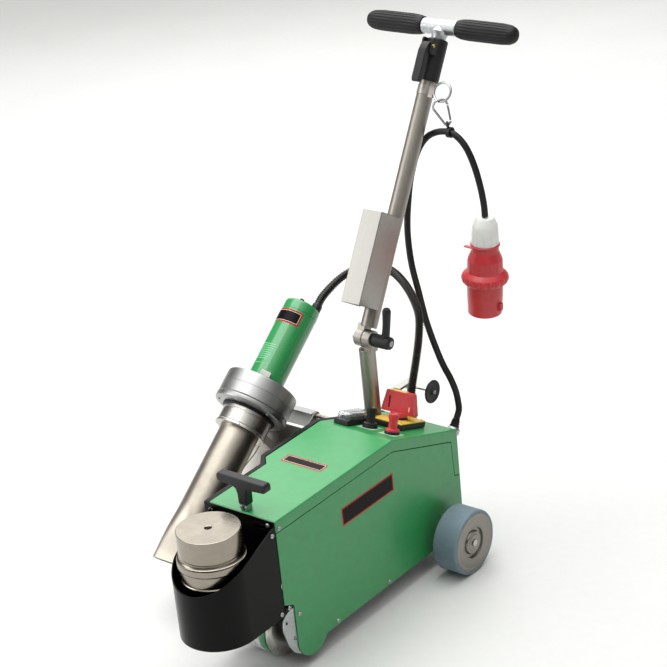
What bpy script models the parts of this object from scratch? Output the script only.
"""Hot-air roofing welder with a weighted seam roller, built as separate pieces.

Run it with: blender --background --python part.py
Units are metres, +Z is up, the roller and its weights point along -Y, and the
operator's guide bar leans back along +Y. The origin lies on the floor, under the
middle of the machine.
"""

from math import atan2, cos, pi, radians, sin

import bmesh
import bpy
from mathutils import Euler, Matrix, Vector

# ---- driving dimensions ----------------------------------------------------
MIDDLE = Vector((0.0815, -0.0105, 0.0))  # from the machine's own datum to the origin
GAP = 0.0003  # clearance between touching pieces
SHEET = 0.0015  # thickness of the body panels

SIDE_R, COVER_L, NARROW_L = 0.0666, -0.0885, -0.0702  # green cover, right and left edges
BLACK_OUT = 0.0105  # how far the black side stands out from the cover
FRONT_Y, BREAK_Y, REAR_Y = -0.273, 0.034, 0.216
FRONT_Z, BREAK_Z, REAR_Z = 0.292, 0.294, 0.231
FLOOR_PLATE_Z = 0.036
SEAM_DROP = 0.0203  # height of the green cover's side flange
STEP_Y = (-0.134, -0.110)  # where the left side steps outwards
DECK_TILT = atan2(BREAK_Z - REAR_Z, REAR_Y - BREAK_Y)

ROLLER_Y, ROLLER_Z, ROLLER_R = -0.2115, 0.0525, 0.0525
MOTOR_SHAFT = (-0.105, 0.104)
SPROCKET_X = (0.030, 0.036)
ROLLER_SPROCKET_R, MOTOR_SPROCKET_R = 0.026, 0.019

WHEEL_Y, WHEEL_R, TYRE_DEPTH, WHEEL_WIDTH = 0.148, 0.0585, 0.006, 0.050
RIGHT_WHEEL_X, LEFT_WHEEL_X = 0.1127, -0.1377
AXLE_R = 0.006

HOLDER_Y, HOLDER_R, HOLDER_WALL = -0.3535, 0.0666, 0.002
HOLDER_BOTTOM, HOLDER_BACK_TOP, HOLDER_FRONT_TOP = 0.120, 0.283, 0.2155
WEIGHT_TOP, WEIGHT_SPLIT, WEIGHT_R, BEAD_R = 0.305, 0.265, 0.0517, 0.0558

BLOWER_AT = Vector((-0.232, 0.1882, 0.4192))  # the middle of the blower's rear cap
BLOWER_PITCH = radians(37.98)  # how far the blower's axis points below the horizontal
BODY_R, FAN_R, CLAMP_R, TUBE_R = 0.0330, 0.0665, 0.0455, 0.0354
ROD_R, ROD_Y, ROD_Z = 0.005, 0.1067, (0.2537, 0.2387)

JOINT_AT = Vector((-0.055, 0.1393, 0.4131))  # the guide bar's tilting joint
BAR_TILT = radians(30.85)
BAR_R, INNER_R = 0.0145, 0.0120
BAR_TOP, HANDLE_AT = 0.478, 0.549
POST_FOOT = 0.085

CORD_R, CONDUIT_R = 0.0058, 0.0080
MAINS_AT, MAINS_LEAN = Vector((0.0440, 0.2330, 0.2130)), radians(35)
STRAP_AT = Vector((0.0000, 0.3490, 0.7245))
HOOK_TOP, HOOK_BOTTOM = Vector((-0.0155, 0.3481, 0.7690)), Vector((-0.0040, 0.3490, 0.7440))
HOOK_TURN = radians(50)  # the hook's plane, turned about the vertical from X
PLUG_TOP, PLUG_LEAN = Vector((0.0607, 0.3500, 0.5790)), radians(4.3)

# ---- routes of the mains cord and the conduit ------------------------------------
MAINS_ROUTE = [
    (0.0380, 0.2600, 0.2763), (0.0295, 0.2560, 0.3070), (0.0116, 0.2580, 0.3348), (-0.0247, 0.2750, 0.3885),
    (-0.0561, 0.2970, 0.4410), (-0.0790, 0.3130, 0.4855), (-0.0905, 0.3250, 0.5386), (-0.0915, 0.3360, 0.5911),
    (-0.0850, 0.3420, 0.6368), (-0.0670, 0.3450, 0.6860), (-0.0390, 0.3470, 0.7165), (0.0000, 0.3490, 0.7245),
    (0.0270, 0.3500, 0.7060), (0.0450, 0.3500, 0.6710), (0.0560, 0.3500, 0.6290), (0.0604, 0.3500, 0.5970),
    (0.0607, 0.3500, 0.5803),
]
CONDUIT_ROUTE = [
    (-0.2125, 0.2048, 0.4180), (-0.2125, 0.2160, 0.4268), (-0.2062, 0.2440, 0.4430), (-0.1902, 0.2690, 0.4590),
    (-0.1545, 0.2880, 0.4730), (-0.1098, 0.2900, 0.4721), (-0.0680, 0.2800, 0.4520), (-0.0350, 0.2640, 0.4180),
    (-0.0240, 0.2480, 0.3850), (-0.0210, 0.2310, 0.3450), (-0.0200, 0.2130, 0.3050), (-0.0200, 0.2025, 0.2745),
    (-0.0200, 0.1984, 0.2640),
]
CONDUIT_SPLIT = 9  # the sampled point where the blower's half ends

PARTS = "seam_roller"


# ---- scene, materials and small helpers --------------------------------------
def clear_scene():
    for old in list(bpy.data.objects):
        bpy.data.objects.remove(old)


def collection(name):
    group = bpy.data.collections.new(name)
    bpy.context.scene.collection.children.link(group)
    return group


def material(name, colour, roughness, metallic=0.0):
    if name in bpy.data.materials:
        return bpy.data.materials[name]
    finish = bpy.data.materials.new(name)
    finish.use_nodes = True
    shader = finish.node_tree.nodes["Principled BSDF"]
    shader.inputs["Base Color"].default_value = (*colour, 1.0)
    shader.inputs["Roughness"].default_value = roughness
    shader.inputs["Metallic"].default_value = metallic
    return finish


def green_paint():
    return material("green_powder_coat", (0.055, 0.32, 0.11), 0.35)


def black_paint():
    return material("black_powder_coat", (0.010, 0.010, 0.010), 0.45)


def black_plastic():
    return material("black_plastic", (0.020, 0.020, 0.022), 0.5)


def red_plastic():
    return material("red_plastic", (0.62, 0.03, 0.04), 0.4)


def white_plastic():
    return material("white_plastic", (0.80, 0.80, 0.78), 0.5)


def steel():
    return material("turned_steel", (0.58, 0.55, 0.51), 0.28, 1.0)


def stainless():
    return material("stainless_steel", (0.62, 0.59, 0.54), 0.32, 1.0)


def zinc():
    return material("zinc_plated_steel", (0.72, 0.73, 0.74), 0.35, 1.0)


def aluminium():
    return material("cast_aluminium", (0.70, 0.70, 0.71), 0.42, 1.0)


def grey_rubber():
    return material("grey_rubber", (0.16, 0.20, 0.23), 0.65)


def white_rubber():
    return material("white_silicone", (0.72, 0.74, 0.74), 0.55)


def black_rubber():
    return material("black_rubber", (0.015, 0.015, 0.016), 0.7)


def ceramic():
    return material("white_ceramic", (0.75, 0.72, 0.66), 0.6)


def datum(name, location, rotation=(0.0, 0.0, 0.0), parent=None):
    """An empty that holds the pieces of one assembly in that assembly's own axes."""
    empty = bpy.data.objects.new(name, None)
    empty.location, empty.rotation_euler = location, rotation
    empty.parent = parent
    bpy.context.scene.collection.objects.link(empty)
    return empty


def put(obj, name, group, parent, at=(0, 0, 0), turn=(0, 0, 0), finish=None):
    obj.name = name
    obj.data.name = name
    obj.location, obj.rotation_euler, obj.parent = at, turn, parent
    group.objects.link(obj)
    if finish:
        obj.data.materials.append(finish)
    return obj


def mesh_object(bm):
    """A new mesh object of the bmesh, smooth apart from its sharp edges."""
    bmesh.ops.recalc_face_normals(bm, faces=bm.faces)
    mesh = bpy.data.meshes.new("piece")
    bm.to_mesh(mesh)
    bm.free()
    for face in mesh.polygons:
        face.use_smooth = True
    mesh.set_sharp_from_angle(angle=radians(35))
    return bpy.data.objects.new("piece", mesh)


def box(low, high, bevel=0.0):
    """A block between two corners, with its edges rounded."""
    bm = bmesh.new()
    bmesh.ops.create_cube(bm, size=1.0)
    low, high = Vector(low), Vector(high)
    size, middle = high - low, (high + low) / 2
    for vert in bm.verts:
        vert.co = Vector([vert.co[i] * size[i] + middle[i] for i in range(3)])
    obj = mesh_object(bm)
    if bevel:
        edge = obj.modifiers.new("rounding", "BEVEL")
        edge.width, edge.segments = bevel, 2
    return obj


TURNED = {"X": (0, pi / 2, 0), "Y": (-pi / 2, 0, 0), "Z": (0, 0, 0)}


def cylinder(radius, low, high, axis="Z", at=(0, 0), sides=24, tip=None):
    """A round bar from low to high along an axis; at gives its other two coordinates."""
    bm = bmesh.new()
    bmesh.ops.create_cone(
        bm, cap_ends=True, segments=sides, radius1=radius, radius2=radius if tip is None else tip,
        depth=high - low,
    )
    middle = (low + high) / 2
    place = {"X": (middle, *at), "Y": (at[0], middle, at[1]), "Z": (*at, middle)}[axis]
    turn = Euler(TURNED[axis]).to_matrix().to_4x4()
    bmesh.ops.transform(bm, matrix=Matrix.Translation(place) @ turn, verts=bm.verts)
    return mesh_object(bm)


def turned(profile, steps=24, ring=False):
    """A piece turned about its own Z: the profile's points are (radius, height)."""
    mesh = bpy.data.meshes.new("profile")
    around = sum(a[0] * b[1] - b[0] * a[1] for a, b in zip(profile, [*profile[1:], profile[0]]))
    points = [(radius, 0.0, height) for radius, height in (profile[::-1] if around > 0 else profile)]
    edges = [(i, i + 1) for i in range(len(points) - 1)]
    if ring:
        edges.append((len(points) - 1, 0))
    mesh.from_pydata(points, edges, [])
    obj = bpy.data.objects.new("turned", mesh)
    screw = obj.modifiers.new("turning", "SCREW")
    screw.axis, screw.angle = "Z", 2 * pi
    screw.steps = screw.render_steps = steps
    screw.use_merge_vertices, screw.merge_threshold = True, 0.00001
    return obj


def outline(loops, thickness):
    """A flat piece from closed loops of (x, y) points; loops inside the first are holes."""
    curve = bpy.data.curves.new("outline", "CURVE")
    curve.dimensions, curve.fill_mode, curve.extrude = "2D", "BOTH", thickness / 2
    for loop in loops:
        spline = curve.splines.new("POLY")
        spline.points.add(len(loop) - 1)
        for point, (x, y) in zip(spline.points, loop):
            point.co = (x, y, 0.0, 1.0)
        spline.use_cyclic_u = True
    return bpy.data.objects.new("outline", curve)


def wire(points, radius, resolution=2, closed=False):
    curve = bpy.data.curves.new("wire", "CURVE")
    curve.dimensions, curve.bevel_depth = "3D", radius
    curve.bevel_resolution, curve.use_fill_caps = resolution, not closed
    spline = curve.splines.new("POLY")
    spline.points.add(len(points) - 1)
    for point, place in zip(spline.points, points):
        point.co = (*place, 1.0)
    spline.use_cyclic_u = closed
    return bpy.data.objects.new("wire", curve)


def as_mesh(obj):
    """The same shape as a mesh with its loose caps welded on, in its parent's axes."""
    bpy.context.scene.collection.objects.link(obj)
    bpy.context.view_layer.update()
    graph = bpy.context.evaluated_depsgraph_get()
    mesh = bpy.data.meshes.new_from_object(obj.evaluated_get(graph))
    bm = bmesh.new()
    bm.from_mesh(mesh)
    bmesh.ops.remove_doubles(bm, verts=bm.verts, dist=1e-6)
    bmesh.ops.transform(bm, matrix=obj.matrix_world, verts=bm.verts)
    bpy.data.objects.remove(obj)
    return mesh_object(bm)


def turned_mesh(profile, axis="Z", at=(0, 0, 0), steps=24, ring=False):
    obj = turned(profile, steps, ring)
    obj.rotation_euler, obj.location = TURNED[axis], at
    return as_mesh(obj)


def plate(loops, thickness, side, normal="X"):
    """A sheet whose outline is given as (y, z) for normal X, (x, z) for Y or (x, y) for Z."""
    obj = outline(loops, thickness)
    if normal == "X":
        obj.matrix_world = Matrix(((0, 0, 1, side), (1, 0, 0, 0), (0, 1, 0, 0), (0, 0, 0, 1)))
    elif normal == "Y":
        obj.matrix_world = Matrix(((1, 0, 0, 0), (0, 0, -1, side), (0, 1, 0, 0), (0, 0, 0, 1)))
    else:
        obj.matrix_world = Matrix.Translation((0, 0, side))
    return as_mesh(obj)


class Shop:
    """Keeps the collections, and joins or cuts pieces with helpers that don't render."""

    def __init__(self):
        self.parts, self.tools = collection(PARTS), collection("cutters")

    def combine(self, obj, others, operation):
        for other in others:
            put(other, f"tool_{len(self.tools.objects)}", self.tools, None)
            other.hide_render, other.display_type = True, "WIRE"
            step = obj.modifiers.new(operation.lower(), "BOOLEAN")
            step.operation, step.object, step.solver = operation, other, "EXACT"
        return obj

    def join(self, obj, *others):
        return self.combine(obj, others, "UNION")

    def cut(self, obj, *others):
        return self.combine(obj, others, "DIFFERENCE")

    def keep(self, obj, name, finish, parent, at=(0, 0, 0), turn=(0, 0, 0)):
        """Adds the finished piece to the parts. Its tools move with it."""
        put(obj, name, self.parts, parent, at, turn, finish)
        self.attach_tools(obj, obj)
        return obj

    def attach_tools(self, obj, parent):
        for step in obj.modifiers:
            if step.type == "BOOLEAN":
                step.object.parent = parent
                self.attach_tools(step.object, parent)


def arc(centre, radius, start, end, count):
    """Points on a circle from start to end, in degrees."""
    for i in range(count + 1):
        angle = radians(start + (end - start) * i / count)
        yield centre[0] + radius * cos(angle), centre[1] + radius * sin(angle)


def circle(centre, radius, count=24):
    return list(arc(centre, radius, 0, 360 * (count - 1) / count, count - 1))


def degrees_of(vector):
    return atan2(vector[1], vector[0]) * 180 / pi


def smooth_path(route, step, tension=0.5):
    """Evenly spaced points on a smooth curve through the route's points."""
    route = [Vector(p) for p in route]
    ends = [2 * route[0] - route[1]] + route + [2 * route[-1] - route[-2]]
    fine = []
    for a, b, c, d in zip(ends, ends[1:], ends[2:], ends[3:]):
        for i in range(24):
            t = i / 24
            m, n = (c - a) * tension, (d - b) * tension
            fine.append(
                (2 * t**3 - 3 * t**2 + 1) * b + (t**3 - 2 * t**2 + t) * m
                + (3 * t**2 - 2 * t**3) * c + (t**3 - t**2) * n
            )
    fine.append(route[-1])
    total = sum((q - p).length for p, q in zip(fine, fine[1:]))
    count = max(2, round(total / step))
    spaced, walked, target = [fine[0]], 0.0, total / count
    for p, q in zip(fine, fine[1:]):
        length = (q - p).length
        while len(spaced) < count and walked + length >= target * len(spaced):
            spaced.append(p.lerp(q, (target * len(spaced) - walked) / length))
        walked += length
    return spaced[:count] + [fine[-1]]


def roof_height(y):
    if y <= BREAK_Y:
        return FRONT_Z + (BREAK_Z - FRONT_Z) * (y - FRONT_Y) / (BREAK_Y - FRONT_Y)
    return BREAK_Z + (REAR_Z - BREAK_Z) * (y - BREAK_Y) / (REAR_Y - BREAK_Y)


# ---- body ---------------------------------------------------------------------
def above_roof(lower=0.0, ahead=0.03):
    """A prism that removes everything above the roof line."""
    line = [(FRONT_Y - ahead, roof_height(FRONT_Y) - lower), (BREAK_Y, BREAK_Z - lower)]
    line.append((REAR_Y + 0.02, roof_height(REAR_Y + 0.02) - lower))
    top = [(REAR_Y + 0.02, 0.45), (FRONT_Y - ahead, 0.45)]
    return plate([line + top], 0.5, 0.0)


def top_cover(shop, machine):
    """Green roof, sloping control deck, rear wall and the flange down the right side."""
    roof = [(FRONT_Y, FRONT_Z), (BREAK_Y, BREAK_Z), (REAR_Y, REAR_Z)]
    under = [(FRONT_Y, FRONT_Z - SHEET), (BREAK_Y - 0.0003, BREAK_Z - SHEET)]
    under.append((REAR_Y - SHEET, REAR_Z - SHEET * 0.9))
    strip = roof + [(REAR_Y, FLOOR_PLATE_Z), (REAR_Y - SHEET, FLOOR_PLATE_Z)] + under[::-1]
    width, middle = SIDE_R - COVER_L, (SIDE_R + COVER_L) / 2
    cover = plate([strip], width, middle)
    flange = [(FRONT_Y, FRONT_Z - SEAM_DROP), (0.0317, 0.2737), (0.1961, 0.2164)]
    flange += [(0.1995, 0.1483), (REAR_Y, 0.1437)] + roof[::-1]
    shop.join(cover, plate([flange], SHEET, SIDE_R - SHEET / 2))
    notch = [(COVER_L - 0.01, FRONT_Y - 0.01), (NARROW_L, FRONT_Y - 0.01)]
    notch += [(NARROW_L, STEP_Y[0] + 0.004), (COVER_L, STEP_Y[1]), (COVER_L - 0.01, STEP_Y[1])]
    hole = cylinder(BAR_R + 0.0015, 0.2, 0.3, at=JOINT_AT[:2])
    shop.cut(cover, plate([notch], 0.1, 0.29, "Z"), hole)
    shop.keep(cover, "top_cover", green_paint(), machine)


def side_cover(shop, machine):
    """Green right side, with the rounded lobe that guards the roller's bearing."""
    back = REAR_Y - SHEET - GAP
    edge = [(-0.178, 0.0358), (back, 0.0358), (back, 0.1431), (0.1990, 0.1478)]
    edge += [(0.1956, 0.2159), (0.0315, 0.2732)]
    edge += [(FRONT_Y, FRONT_Z - SEAM_DROP - 0.0005), (FRONT_Y, 0.1396), (-0.2508, 0.1290)]
    edge += list(arc((-0.2125, 0.0550), 0.0382, 185, 333, 12))
    axle = circle((WHEEL_Y, WHEEL_R), AXLE_R + 0.001, 20)
    side = plate([edge, axle], SHEET, SIDE_R - SHEET / 2)
    shop.keep(side, "side_cover", green_paint(), machine)


def left_band(inset):
    """The stepped black side as seen from above, from its outer face inwards."""
    back, front = COVER_L - BLACK_OUT + inset, NARROW_L - BLACK_OUT + inset
    outer = [(front, FRONT_Y + inset), (front, STEP_Y[0]), (back, STEP_Y[1]), (back, REAR_Y - inset)]
    inner = [(COVER_L - GAP, REAR_Y - inset), (COVER_L - GAP, STEP_Y[1] - 0.001)]
    inner += [(NARROW_L - GAP, STEP_Y[0] + 0.003), (NARROW_L - GAP, FRONT_Y + inset)]
    if inset:
        inner = [(x + 0.02, y) for x, y in inner]
    return outer + inner


def left_plate(shop, machine):
    """Black folded side on the blower's side, with its holes for the slide rods."""
    low, high = FLOOR_PLATE_Z, 0.31
    side = plate([left_band(0)], high - low, (high + low) / 2, "Z")
    shop.cut(side, above_roof())
    pocket = plate([left_band(SHEET)], high - low, (high + low) / 2 - 0.01, "Z")
    shop.cut(pocket, above_roof(lower=SHEET))
    holes = [cylinder(ROD_R + 0.0008, -0.12, -0.08, "X", (ROD_Y, z), 20) for z in ROD_Z]
    axle = cylinder(AXLE_R + 0.001, -0.12, -0.08, "X", (WHEEL_Y, WHEEL_R), 20)
    shop.cut(side, pocket, axle, *holes)
    shop.keep(side, "left_side_plate", black_paint(), machine)


def front_plate(shop, machine):
    low = (NARROW_L - BLACK_OUT, FRONT_Y - GAP - SHEET, HOLDER_BOTTOM)
    face = box(low, (SIDE_R - SHEET - GAP, FRONT_Y - GAP, FRONT_Z - 0.0005))
    slot = box((0.022, FRONT_Y - 0.01, 0.2735), (0.046, FRONT_Y + 0.01, 0.2795))
    shop.cut(face, slot)
    shop.keep(face, "front_plate", black_paint(), machine)


def base_plate(shop, machine):
    """Floor plate with the two bearing blocks of the rear axle."""
    back, left, right = REAR_Y - SHEET - 0.001, -0.0690, 0.0645
    edge = [(left, -0.155), (right, -0.155), (right, back), (-0.0865, back), (-0.0865, -0.104)]
    floor = plate([edge + [(left, -0.118)]], 0.004, FLOOR_PLATE_Z + 0.002, "Z")
    shop.join(floor, box((-0.067, 0.100, 0.038), (-0.043, 0.136, POST_FOOT - GAP)))
    for x in (-0.062, 0.050):
        block = box((x - 0.006, WHEEL_Y - 0.014, 0.038), (x + 0.006, WHEEL_Y + 0.014, 0.073))
        shop.join(floor, block)
    shop.cut(floor, cylinder(AXLE_R + GAP, -0.08, 0.07, "X", (WHEEL_Y, WHEEL_R), 24))
    shop.keep(floor, "base_plate", zinc(), machine)


def holder_outline(radius, back):
    arch = list(arc((0.0, HOLDER_Y), radius, 180, 360, 28))
    return [(-radius, back)] + arch + [(radius, back)]


def weight_holder(shop, machine):
    """Black sheet bent into a U round the weights, cut low at the front, with a floor."""
    back = FRONT_Y - SHEET - 2 * GAP
    height = HOLDER_BACK_TOP + 0.01 - HOLDER_BOTTOM
    shell = plate([holder_outline(HOLDER_R, back)], height, HOLDER_BOTTOM + height / 2, "Z")
    inside = holder_outline(HOLDER_R - HOLDER_WALL, back + 0.02)
    shop.cut(shell, plate([inside], height, HOLDER_BOTTOM + 0.004 + height / 2, "Z"))
    front = HOLDER_Y - HOLDER_R
    rim = [(back + 0.02, 0.34), (back + 0.02, HOLDER_BACK_TOP + 0.006)]
    rim += [(back - 0.008, HOLDER_BACK_TOP), (front + 0.045, HOLDER_FRONT_TOP + 0.028)]
    rim += [(front, HOLDER_FRONT_TOP), (front - 0.02, HOLDER_FRONT_TOP - 0.01), (front - 0.02, 0.34)]
    shop.cut(shell, plate([rim], 0.3, 0.0))
    shop.keep(shell, "weight_holder", black_paint(), machine)


def weights(shop, machine):
    at = (0.0, HOLDER_Y, 0.0)
    low = HOLDER_BOTTOM + 0.0043
    split = WEIGHT_SPLIT
    lower = [(0, split), (0.0500, split), (0.0505, split - 0.003), (0.0520, split - 0.008)]
    lower += [(BEAD_R - 0.0008, split - 0.0125), (BEAD_R, split - 0.015), (BEAD_R, split - 0.0185)]
    lower += [(0.0525, split - 0.0215), (0.0525, 0.2250), (0.0505, 0.2235), (0.0525, 0.2220)]
    lower += [(0.0525, low + 0.002), (0.051, low), (0, low)]
    shop.keep(turned(lower, 32), "lower_weight", steel(), machine, at)
    foot = WEIGHT_SPLIT + GAP
    upper = [(0, WEIGHT_TOP), (WEIGHT_R - 0.0015, WEIGHT_TOP), (WEIGHT_R, WEIGHT_TOP - 0.0015)]
    upper += [(WEIGHT_R, foot + 0.004), (0.0492, foot + 0.002), (0.0492, foot), (0, foot)]
    shop.keep(turned(upper, 32), "upper_weight", steel(), machine, at)


def front_grip(shop, machine):
    """Black T-grip whose bright foot is bolted to the roof behind the weights."""
    y, top = -0.2625, 0.3500
    bar = [(-0.0505, top - 0.0125), (-0.047, top - 0.0145), (-0.012, top - 0.0165)]
    bar += [(-0.0085, 0.300), (0.0085, 0.300), (0.012, top - 0.0165), (0.047, top - 0.0145)]
    bar += [(0.0505, top - 0.0125), (0.0505, top - 0.003), (0.047, top), (-0.047, top)]
    bar += [(-0.0505, top - 0.003)]
    grip = plate([bar], 0.0165, y, "Y")
    rounding = grip.modifiers.new("rounding", "BEVEL")
    rounding.width, rounding.segments = 0.0022, 2
    foot = box((-0.0065, y - 0.007, FRONT_Z + 0.0006), (0.0065, y + 0.007, 0.303))
    shop.join(grip, foot)
    shop.keep(grip, "front_grip", black_plastic(), machine)


# ---- roller and its drive -------------------------------------------------------
def roller_plates(shop, machine):
    """Zinc-plated bearing plates on both ends of the roller."""
    edge = [(-0.185, 0.125), (-0.262, 0.1235), (-0.2785, 0.1105), (-0.281, 0.094)]
    edge += [(-0.2715, 0.062), (-0.2629, 0.0475), (-0.247, 0.034), (-0.225, 0.027), (-0.185, 0.038)]
    bore = circle((ROLLER_Y, ROLLER_Z), 0.0083)
    hole = circle((-0.2709, 0.1049), 0.003, 12)
    slot = [(-0.2585, 0.066), (-0.252, 0.0635), (-0.252, 0.0715), (-0.2585, 0.074)]
    right = plate([edge, bore, hole, slot], 0.002, 0.0637)
    shop.keep(right, "right_roller_plate", zinc(), machine)
    edge = [(max(y, -0.271), min(z, 0.118)) for y, z in edge]
    left = plate([edge, bore], 0.002, -0.0665)
    shop.keep(left, "left_roller_plate", zinc(), machine)


def drive_roller(shop, machine):
    """Steel core with its sprocket, white tread and green band, on one shaft along X."""
    at, drum = (0.0, ROLLER_Y, ROLLER_Z), 0.0300
    core = [(0, 0.0650), (0.008, 0.0650), (0.008, SPROCKET_X[1]), (ROLLER_SPROCKET_R, SPROCKET_X[1])]
    core += [(ROLLER_SPROCKET_R, SPROCKET_X[0]), (0.012, SPROCKET_X[0]), (0.012, 0.0175)]
    core += [(0.044, 0.0175), (0.0495, 0.0160), (0.0522, 0.0120), (0.0522, 0.0075), (0.0500, 0.0045)]
    core += [(drum, 0.0045), (drum, -0.0600), (0.008, -0.0600), (0.008, -0.0680), (0, -0.0680)]
    obj = turned(core, 32)
    shop.keep(obj, "roller_core", steel(), machine, at, TURNED["X"])
    bore, r = drum + GAP, ROLLER_R
    band = [(bore, 0.0041), (0.0500, 0.0041), (r - 0.0006, 0.0028), (r, 0.0), (r, -0.0060)]
    band += [(r - 0.0008, -0.0085), (0.0495, -0.0095), (bore, -0.0095)]
    shop.keep(turned(band, 32, True), "roller_band", green_paint(), machine, at, TURNED["X"])
    tread = [(bore, -0.0099), (0.0500, -0.0099), (r - 0.0010, -0.0115), (r - 0.0010, -0.0200)]
    tread += [(0.0500, -0.0215), (0.0500, -0.0245), (r - 0.0010, -0.0260), (r - 0.0010, -0.0580)]
    tread += [(0.0500, -0.0600), (bore, -0.0600)]
    shop.keep(turned(tread, 32, True), "roller_tread", white_rubber(), machine, at, TURNED["X"])


def drive(shop, machine):
    """Gear motor on the floor plate, its sprocket, and the chain down to the roller."""
    y, z = MOTOR_SHAFT
    gearbox = box((-0.036, y - 0.032, FLOOR_PLATE_Z + 0.0043), (SPROCKET_X[0] - 0.004, y + 0.034, z + 0.034))
    shop.join(gearbox, cylinder(0.033, y + 0.03, 0.085, "Y", (-0.004, z), 24))
    shop.cut(gearbox, cylinder(0.0063, -0.01, 0.04, "X", MOTOR_SHAFT, 16))
    shop.keep(gearbox, "gear_motor", aluminium(), machine)
    r = MOTOR_SPROCKET_R
    wheel = [(0, 0.042), (0.009, 0.042), (0.009, SPROCKET_X[1]), (r, SPROCKET_X[1])]
    wheel += [(r, SPROCKET_X[0]), (0.006, SPROCKET_X[0]), (0.006, 0.005), (0, 0.005)]
    shop.keep(turned(wheel, 24), "motor_sprocket", steel(), machine, (0.0, y, z), TURNED["X"])
    loops = []
    for extra in (0.0045, 0.0006):
        big, small = ROLLER_SPROCKET_R + extra, r + extra
        along = Vector((y - ROLLER_Y, z - ROLLER_Z))
        lean = degrees_of(along)
        spread = 90 + degrees_of(Vector((along.length, big - small)))
        spread = 180 - spread
        loop = list(arc((ROLLER_Y, ROLLER_Z), big, lean + spread, lean + 360 - spread, 20))
        loop += list(arc((y, z), small, lean - spread, lean + spread, 14))
        loops.append(loop)
    chain = plate(loops, SPROCKET_X[1] - SPROCKET_X[0] - 0.001, sum(SPROCKET_X) / 2)
    shop.keep(chain, "drive_chain", steel(), machine)


def wheels(shop, machine):
    low, high = LEFT_WHEEL_X - WHEEL_WIDTH / 2 - 0.001, RIGHT_WHEEL_X + WHEEL_WIDTH / 2 + 0.001
    shop.keep(
        cylinder(AXLE_R, low, high, "X", (WHEEL_Y, WHEEL_R), 24), "wheel_axle", steel(), machine
    )
    half, rim = WHEEL_WIDTH / 2, WHEEL_R - TYRE_DEPTH
    tyre = [(rim + GAP, half - 0.001), (WHEEL_R - 0.003, half - 0.0005), (WHEEL_R, half - 0.003)]
    tyre += [(radius, -height) for radius, height in tyre[::-1]]
    bore = AXLE_R + GAP
    hub = [(bore, half - 0.0015), (0.020, half - 0.0015), (0.0225, half - 0.004), (0.026, half - 0.004)]
    hub += [(0.0275, half - 0.0015), (0.047, half - 0.0015), (0.0485, half - 0.0005), (rim, half - 0.0005)]
    hub += [(rim, -half + 0.0005), (0.0485, -half + 0.0005), (0.047, -half + 0.003), (bore, -half + 0.003)]
    for name, x, turn in (("right", RIGHT_WHEEL_X, pi / 2), ("left", LEFT_WHEEL_X, -pi / 2)):
        at = (x, WHEEL_Y, WHEEL_R)
        shop.keep(turned(tyre, 32, True), f"{name}_wheel_tyre", grey_rubber(), machine, at, (0, turn, 0))
        shop.keep(turned(hub, 32, True), f"{name}_wheel_hub", aluminium(), machine, at, (0, turn, 0))


# ---- hot-air blower ---------------------------------------------------------------
def slide(shop, machine):
    """Two rods out of the housing's left side, and the block that slides along them."""
    y, low, high = ROD_Y, -0.2970, -0.0620
    rods = cylinder(ROD_R, low, high, "X", (y, ROD_Z[0]), 20)
    shop.join(rods, cylinder(ROD_R, low, high, "X", (y, ROD_Z[1]), 20))
    for x in (low - 0.002, high - 0.002):
        shop.join(rods, box((x, y - 0.007, ROD_Z[1] - 0.007), (x + 0.004, y + 0.007, ROD_Z[0] + 0.007)))
    shop.keep(rods, "slide_rods", stainless(), machine)
    block = box((-0.2630, y - 0.0082, ROD_Z[1] - 0.0082), (-0.1630, y + 0.0083, ROD_Z[0] + 0.0060), 0.001)
    for z in ROD_Z:
        shop.cut(block, cylinder(ROD_R + GAP, -0.28, -0.15, "X", (y, z), 20))
    shop.keep(block, "blower_carriage", aluminium(), machine)


def nozzle_ring(s, width, height, count=24):
    """One section of the heating tube: a circle that flattens towards the tip."""
    squareness = 2.0 if abs(width - height) < 1e-6 else 2.0 + 3.0 * (width - height) / width
    ring = []
    for i in range(count):
        angle = 2 * pi * i / count
        c, v = cos(angle), sin(angle)
        x = abs(c) ** (2 / squareness) * (1 if c >= 0 else -1)
        y = abs(v) ** (2 / squareness) * (1 if v >= 0 else -1)
        ring.append(Vector((width * x, height * y, s)))
    return ring


def lofted_tube(outer, inner):
    """A tube with a wall, lofted through matching outer and inner sections."""
    bm = bmesh.new()
    rows = [[bm.verts.new(p) for p in ring] for ring in outer + inner[::-1]]
    rows.append(rows[0])
    for a, b in zip(rows, rows[1:]):
        for i in range(len(a)):
            j = (i + 1) % len(a)
            bm.faces.new((a[i], a[j], b[j], b[i]))
    return mesh_object(bm)


def heating_tube():
    sections = [(0.2230, 1.0, 1.0), (0.4150, 1.0, 1.0), (0.4400, 1.02, 0.93), (0.4650, 1.09, 0.72)]
    sections += [(0.4900, 1.18, 0.44), (0.5080, 1.24, 0.25), (0.5170, 1.26, 0.19)]
    outer = [nozzle_ring(s, TUBE_R * w, TUBE_R * h) for s, w, h in sections]
    wall = 0.0012
    inner = [nozzle_ring(s, TUBE_R * w - wall, TUBE_R * h - wall) for s, w, h in sections]
    return lofted_tube(outer, inner)


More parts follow.
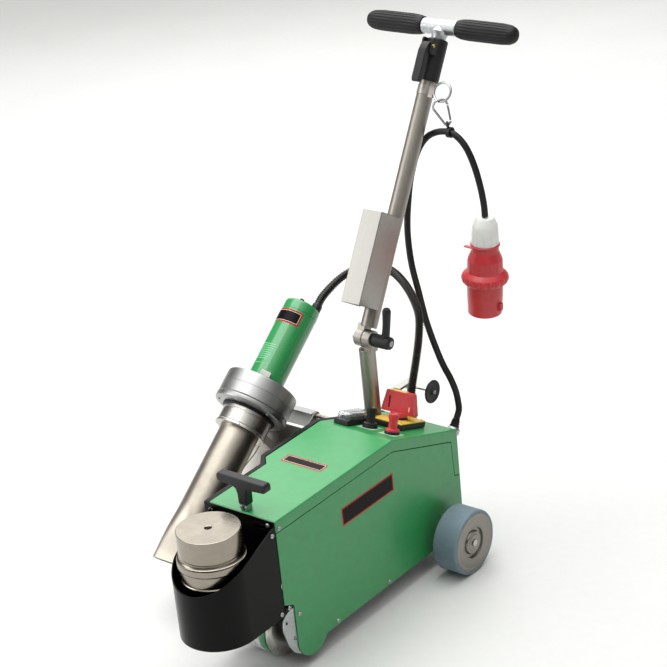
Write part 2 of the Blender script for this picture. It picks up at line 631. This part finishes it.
def blower(shop, axis):
    """Everything on the blower's own axis, which runs from the rear cap to the nozzle."""
    def round_piece(name, finish, profile, ring=True, steps=28):
        shop.keep(turned(profile[::-1], steps, ring), name, finish, axis)

    r = BODY_R
    body = [(0.0, 0.0), (r - 0.006, 0.0), (r - 0.0015, 0.002), (r, 0.006), (r, 0.1575)]
    body += [(r - 0.0025, 0.1575), (r - 0.0025, 0.0040), (0.0, 0.0040)]
    shell = turned_mesh(body[::-1])
    gland = cylinder(0.0092, -0.0120, 0.002, at=(0.0195, -0.0109), sides=20)
    shop.join(shell, gland)
    shop.keep(shell, "motor_housing", green_paint(), axis)

    f = FAN_R
    rear = [(0.0080, 0.1580), (0.0380, 0.1580), (0.0600, 0.1625), (f - 0.0012, 0.1670)]
    rear += [(f, 0.1700), (f, 0.2095), (f - 0.003, 0.2095), (f - 0.003, 0.1710), (0.0080, 0.1640)]
    round_piece("fan_housing", aluminium(), rear, steps=32)
    front = [(0.0365, 0.2165), (f - 0.003, 0.2165), (f - 0.003, 0.2099), (f + 0.0008, 0.2099)]
    front += [(f + 0.0008, 0.2170), (f - 0.0020, 0.2213), (0.0365, 0.2213)]
    round_piece("fan_cover", aluminium(), front, steps=32)
    c, t = CLAMP_R, TUBE_R + GAP
    clamp = [(t, 0.2217), (c, 0.2217), (c, 0.2545), (c + 0.0017, 0.2552), (c + 0.0017, 0.2592), (t, 0.2592)]
    round_piece("heater_clamp", stainless(), clamp)
    shop.keep(heating_tube(), "heating_tube", stainless(), axis)
    core = [(0.0, 0.2660), (0.0300, 0.2660), (0.0300, 0.4000), (0.0, 0.4000)]
    round_piece("heating_element", ceramic(), core, False, 24)
    fan = [(0.0, 0.0120), (0.0060, 0.0120), (0.0060, 0.0500), (0.0250, 0.0500), (0.0250, 0.1250)]
    fan += [(0.0060, 0.1250), (0.0060, 0.1760), (0.0560, 0.1790), (0.0560, 0.2060), (0.0, 0.2060)]
    round_piece("fan_impeller", aluminium(), fan, False, 32)
    dial = [(0.0, -0.0100), (0.0042, -0.0100), (0.0042, -0.0015), (0.0030, -0.0003), (0.0, -0.0003)]
    shop.keep(turned(dial[::-1], 16), "blower_dial", black_plastic(), axis, (-0.005, 0.005, 0.0))


def blower_bracket(shop, axis):
    """Folded sheet that carries the blower: a floor with two cheeks on the rod, and a saddle."""
    pivot = Vector((0.0, ROD_Y, ROD_Z[0])) - BLOWER_AT
    along, up = axis_directions()
    s, perp = pivot.dot(along), pivot.dot(up)
    cheek_x = (-0.0365, 0.0740)
    eye = [(perp + 0.001, s + 0.0085)] + list(arc((perp, s), 0.0083, 130, 340, 9))
    edge = eye + [(-0.0700, s), (-0.0700, 0.3390), (perp + 0.001, 0.3390)]
    hole = circle((perp, s), ROD_R + GAP, 20)
    left = plate([edge, hole], 0.002, cheek_x[0])
    shop.join(left, plate([edge, hole], 0.002, cheek_x[1]))
    shop.join(left, box((cheek_x[0] - 0.0005, -0.0785, 0.1960), (cheek_x[1] + 0.0005, -0.0765, 0.3380)))
    saddle = box((-0.020, -0.0770, 0.2360), (0.020, -0.0400, 0.2500))
    shop.cut(saddle, cylinder(CLAMP_R + 0.0010, 0.22, 0.27, sides=48))
    shop.join(left, saddle)
    shop.keep(left, "blower_bracket", zinc(), axis)


def axis_directions():
    """The blower axis's forward and upward directions."""
    return (
        Vector((0, -cos(BLOWER_PITCH), -sin(BLOWER_PITCH))),
        Vector((0, -sin(BLOWER_PITCH), cos(BLOWER_PITCH))),
    )


# ---- control deck -------------------------------------------------------------------
def deck_place(x, y):
    """A point on the sloping deck, in the deck's own axes."""
    return (x, (y - BREAK_Y) / cos(DECK_TILT), GAP)


def controls(shop, deck):
    base = box((-0.033, -0.0355, 0), (0.033, 0.0355, 0.0125), 0.0012)
    shop.join(base, cylinder(0.016, 0.010, 0.0160))
    at = deck_place(-0.002, 0.1385)
    shop.keep(base, "isolator_base", black_plastic(), deck, at)
    paddle = [(-0.0350, 0.022), (0.0350, 0.022), (0.0265, 0.060), (-0.0265, 0.060)]
    handle = plate([paddle], 0.015, 0.0, "Y")
    rounding = handle.modifiers.new("rounding", "BEVEL")
    rounding.width, rounding.segments = 0.002, 2
    shop.join(handle, cylinder(0.0155, 0.0165, 0.024, sides=24))
    shop.cut(handle, box((-0.0205, -0.012, 0.029), (-0.0165, 0.012, 0.050)))
    shop.keep(handle, "isolator_handle", red_plastic(), deck, at)
    knobs = (("speed_knob", -0.0138, 0.0770, black_plastic()), ("heat_knob", 0.0358, 0.0735, red_plastic()))
    for name, x, y, finish in knobs:
        knob = [(0, 0.0345), (0.0075, 0.0345), (0.0085, 0.0330), (0.0088, 0.0080), (0.0128, 0.0065)]
        knob += [(0.0132, 0.0015), (0.0125, 0), (0, 0)]
        shop.keep(turned(knob, 20), name, finish, deck, deck_place(x, y))
    rocker_at = deck_place(-0.0505, 0.0760)
    frame = box((-0.0150, -0.0345, 0), (0.0150, 0.0345, 0.0090), 0.001)
    shop.cut(frame, box((-0.0108, -0.0228, 0.0020), (0.0108, 0.0228, 0.02)))
    shop.keep(frame, "rocker_frame", black_plastic(), deck, rocker_at)
    rocker = box((-0.0104, -0.0215, -0.0040), (0.0104, 0.0215, 0.0045), 0.001)
    rocker_place = (rocker_at[0], rocker_at[1], rocker_at[2] + 0.0095)
    shop.keep(rocker, "rocker_switch", red_plastic(), deck, rocker_place)
    gland = [(0, 0.024), (0.0100, 0.024), (0.0112, 0.021), (0.0112, 0.011), (0.0128, 0.010)]
    gland += [(0.0128, 0), (0, 0)]
    shop.keep(turned(gland, 24), "conduit_gland", black_plastic(), deck, deck_place(-0.0200, 0.1900))


def mains_gland(shop, machine):
    """Cable gland at the rear wall's top right corner; its outlet points up and back."""
    at, lean = MAINS_AT, MAINS_LEAN
    nut = cylinder(0.0130, REAR_Y + GAP, REAR_Y + 0.0120, "Y", (at[0], at[2]), 6)
    elbow = cylinder(0.0105, REAR_Y + 0.010, REAR_Y + 0.020, "Y", (at[0], at[2]), 24)
    spout = cylinder(0.0115, -0.002, 0.024, sides=24, tip=0.0085)
    spout.matrix_world = Matrix.Translation(at) @ Matrix.Rotation(-lean, 4, "X")
    shop.join(nut, elbow, as_mesh(spout))
    shop.keep(nut, "mains_gland", zinc(), machine)


def guide_arm(shop, machine):
    """Steel arm folded up over the rear wall, with the rod that the guide disc turns on."""
    arm = box((-0.046, 0.2265, 0.166), (-0.030, 0.2310, 0.300))
    shop.join(arm, box((-0.046, 0.1890, 0.2860), (-0.030, 0.2310, 0.3000)))
    shop.join(arm, cylinder(0.0070, -0.046, -0.030, "X", (0.2288, 0.1700), 20))
    shop.join(arm, cylinder(0.0018, -0.0310, 0.0195, "X", (0.2230, 0.2895), 12))
    shop.keep(arm, "guide_arm", stainless(), machine)
    disc = [(0.0022, 0.004), (0.006, 0.004), (0.0065, 0.002), (0.0205, 0.002), (0.0212, 0.0)]
    disc += [(0.0205, -0.002), (0.0065, -0.002), (0.006, -0.004), (0.0022, -0.004)]
    at = (0.0140, 0.2230, 0.2895)
    shop.keep(turned(disc, 28, True), "guide_disc", black_rubber(), machine, at, TURNED["X"])


# ---- guide bar -----------------------------------------------------------------------
def lower_tube(shop, machine):
    """Post from its foot in the housing up through the deck, with its half of the tilting joint."""
    x, y, z = JOINT_AT
    post = cylinder(BAR_R, POST_FOOT, z - 0.019, at=(x, y))
    shop.join(post, box((x + 0.0004, y - 0.010, z - 0.024), (x + 0.0165, y + 0.010, z)))
    shop.join(post, cylinder(0.0155, x + 0.0004, x + 0.0165, "X", (y, z)))
    shop.cut(post, cylinder(0.0045, x - 0.02, x + 0.03, "X", (y, z), 20))
    shop.keep(post, "lower_tube", stainless(), machine)


def guide_bar(shop, bar):
    """The bar's pieces above the joint; the local Z axis runs up the tube."""
    tube = turned_mesh(
        [(0.0125, BAR_TOP), (BAR_R, BAR_TOP), (BAR_R, 0.019), (0.0125, 0.019)], ring=True
    )
    plug = cylinder(0.0126, 0.019, 0.040)
    shop.join(tube, plug, box((-0.0165, -0.010, 0), (-0.0004, 0.010, 0.024)))
    shop.join(tube, cylinder(0.0155, -0.0165, -0.0004, "X"))
    shop.cut(tube, cylinder(0.0045, -0.03, 0.01, "X", (0, 0), 20))
    shop.join(tube, box((0.0120, -0.0095, 0.4240), (0.0225, -0.0055, 0.4500)))
    ring = [(a, 0.0 - 0.0075, b) for a, b in circle((0.0395, 0.4365), 0.0165, 28)]
    shop.join(tube, as_mesh(wire(ring, 0.0018, 2, True)))
    shop.keep(tube, "upper_tube", stainless(), bar)

    outer = [(-0.0200, -0.0115), (-0.0200, -0.0690), (0.0200, -0.0690), (0.0200, -0.0115)]
    inner = [(0.0185, -0.0115), (0.0185, -0.0675), (-0.0185, -0.0675), (-0.0185, -0.0115)]
    channel = plate([outer + inner], 0.1625, 0.1310, "Z")
    web = box((-0.0190, -0.0175, 0.1200), (0.0190, -0.0148, 0.1400))
    shop.join(channel, web)
    shop.keep(channel, "tube_sleeve", aluminium(), bar)

    clamp = cylinder(0.0180, 0.4525, 0.5260, sides=32)
    shop.join(clamp, box((-0.0130, -0.0300, 0.4950), (0.0130, -0.0120, 0.5240), 0.003))
    shop.cut(clamp, cylinder(INNER_R + GAP, 0.40, 0.55, sides=32))
    shop.cut(clamp, cylinder(BAR_R + GAP, 0.40, BAR_TOP + GAP, sides=32))
    shop.cut(clamp, box((-0.0085, -0.0400, 0.4900), (0.0085, -0.0195, 0.5300)))
    shop.keep(clamp, "quick_clamp", black_plastic(), bar)
    lever = [(-0.0225, 0.5160), (-0.0330, 0.5150), (-0.0400, 0.4980), (-0.0400, 0.4500)]
    lever += [(-0.0360, 0.4440), (-0.0300, 0.4460), (-0.0285, 0.4900), (-0.0225, 0.5060)]
    paddle = plate([lever], 0.0160, 0.0)
    shop.keep(paddle, "quick_lever", black_plastic(), bar)

    inner_tube = cylinder(INNER_R, 0.230, HANDLE_AT)
    shop.join(inner_tube, cylinder(0.0112, -0.140, 0.140, "X", (0, HANDLE_AT), 32))
    shop.join(inner_tube, cylinder(0.0125, 0.5270, HANDLE_AT), cylinder(0.0135, -0.036, 0.036, "X", (0, HANDLE_AT)))
    shop.keep(inner_tube, "handle_tube", zinc(), bar)
    grip = [(0, 0.156), (0.008, 0.1545), (0.0140, 0.149), (0.0168, 0.141), (0.0182, 0.115)]
    grip += [(0.0182, 0.060), (0.0168, 0.043), (0.0150, 0.0365), (0.0115, 0.0365), (0.0115, 0.1403)]
    grip += [(0, 0.1403)]
    for name, turn in (("right_grip", pi / 2), ("left_grip", -pi / 2)):
        shop.keep(turned(grip, 20), name, black_rubber(), bar, (0, 0, HANDLE_AT), (0, turn, 0))


def clamp_lever(shop, machine):
    """Hand lever whose bolt runs through both halves of the joint."""
    x, y, z = JOINT_AT
    at = Vector((y, z))
    hub = cylinder(0.0118, x + 0.0170, x + 0.0540, "X", at, 24)
    shop.join(hub, cylinder(0.0042, x - 0.0230, x + 0.0200, "X", at, 20))
    shop.join(hub, cylinder(0.0090, x - 0.0230, x - 0.0170, "X", at, 6))
    arm = wire([(x + 0.044, y, z), (x + 0.047, y + 0.0005, z + 0.030), (x + 0.050, y + 0.001, z + 0.064)], 0.0072, 3)
    shop.join(hub, as_mesh(arm))
    shop.keep(hub, "clamp_lever", black_plastic(), machine)


# ---- cords and what hangs on them --------------------------------------------------------
def carabiner(shop, machine):
    """Spring hook hanging in the bar's ring; its gate closes the open side."""
    top, bottom, across = HOOK_TOP, HOOK_BOTTOM, Vector((cos(HOOK_TURN), sin(HOOK_TURN), 0))
    body = []
    for c, v in arc((0, 0), 0.0125, 10, 200, 12):
        body.append(top + across * c + Vector((0, 0, v)))
    for c, v in arc((0, 0), 0.0062, 200, 355, 8):
        body.append(bottom + across * c + Vector((0, 0, v)))
    shop.keep(wire(body, 0.0021, 2), "carabiner", zinc(), machine)
    start, end = body[-1], body[0]
    way = (end - start).normalized()
    gate = wire([start + way * 0.0016, end - way * 0.0018], 0.0018, 2)
    shop.keep(gate, "carabiner_gate", zinc(), machine)


def cord_strap(shop, machine):
    """Short band round the mains cord, with the eye that hangs in the hook."""
    band = [(0.0094, 0.004), (0.0094, -0.004), (0.0077, -0.004), (0.0077, 0.004)]
    band = turned_mesh(band, "X", steps=24, ring=True)
    eye = turned_mesh([(0.0060, 0.0015), (0.0060, -0.0015), (0.0033, -0.0015), (0.0033, 0.0015)], "X", ring=True)
    hang = HOOK_BOTTOM - Vector((0, 0, 0.0062)) - STRAP_AT
    eye.matrix_world = Matrix.Translation(hang) @ Matrix.Rotation(HOOK_TURN, 4, "Z")
    shop.join(band, as_mesh(eye))
    shop.keep(band, "cord_strap", black_rubber(), machine, STRAP_AT)


def plug(shop, machine):
    """Five-pole industrial plug: white gland nut, red body with collar and pin shroud."""
    holder = datum("plug_axis", PLUG_TOP, (0, PLUG_LEAN, 0), machine)
    nut = [(0, -0.0010), (0.0130, -0.0010), (0.0150, 0.0), (0.0185, -0.0060), (0.0225, -0.0170)]
    nut += [(0.0235, -0.0300), (0.0240, -0.0495), (0, -0.0495)]
    shop.keep(turned(nut, 24), "plug_nut", white_plastic(), holder)
    body = [(0, -0.0498), (0.0265, -0.0498), (0.0265, -0.0515), (0.0240, -0.0530), (0.0240, -0.0630)]
    body += [(0.0310, -0.0790), (0.0315, -0.1000), (0.0350, -0.1030), (0.0405, -0.1090)]
    body += [(0.0415, -0.1150), (0.0385, -0.1210), (0.0315, -0.1250), (0.0315, -0.1450), (0.0300, -0.1810)]
    body += [(0.0275, -0.1810), (0.0290, -0.1400), (0, -0.1400)]
    red = turned_mesh(body, steps=28)
    shop.join(red, box((0.0305, -0.0045, -0.1700), (0.0355, 0.0045, -0.1560)))
    shop.join(red, box((-0.0430, -0.0035, -0.0660), (-0.0220, 0.0035, -0.0640)))
    pins = [cylinder(0.0030, -0.1720, -0.1380, at=xy, sides=12) for xy in circle((0, 0), 0.0150, 5)]
    shop.join(red, *pins)
    shop.keep(red, "plug_body", red_plastic(), holder)


def cords(shop, machine):
    out = Vector((0, sin(MAINS_LEAN), cos(MAINS_LEAN)))
    mains = smooth_path([MAINS_AT + out * 0.0245, MAINS_AT + out * 0.0400, *MAINS_ROUTE], 0.0160)
    shop.keep(wire(mains, CORD_R, 2), "mains_cord", black_rubber(), machine)
    conduit = smooth_path(CONDUIT_ROUTE, 0.0150)
    middle = CONDUIT_SPLIT
    way = (conduit[middle + 1] - conduit[middle - 1]).normalized()
    for side in (-1, 1):
        conduit[middle + side] = conduit[middle] + way * 0.0150 * side
    first, second = conduit[: middle + 1], [conduit[middle] + way * 0.0004, *conduit[middle + 1 :]]
    shop.keep(wire(first, CONDUIT_R, 2), "conduit_blower_end", black_rubber(), machine)
    shop.keep(wire(second, CONDUIT_R, 2), "conduit_deck_end", black_rubber(), machine)


def build():
    clear_scene()
    shop = Shop()
    machine = datum("machine", MIDDLE)
    deck = datum("deck", (0.0, BREAK_Y, BREAK_Z), (-DECK_TILT, 0, 0), machine)
    axis = datum("blower_axis", BLOWER_AT, (pi / 2 + BLOWER_PITCH, 0, 0), machine)
    bar = datum("guide_bar", JOINT_AT, (-BAR_TILT, 0, 0), machine)
    for make in (top_cover, side_cover, left_plate, front_plate, base_plate, weight_holder, weights):
        make(shop, machine)
    for make in (front_grip, roller_plates, drive_roller, drive, wheels, slide, mains_gland):
        make(shop, machine)
    for make in (guide_arm, lower_tube, clamp_lever, carabiner, cord_strap, plug, cords):
        make(shop, machine)
    blower(shop, axis)
    blower_bracket(shop, axis)
    controls(shop, deck)
    guide_bar(shop, bar)


build()
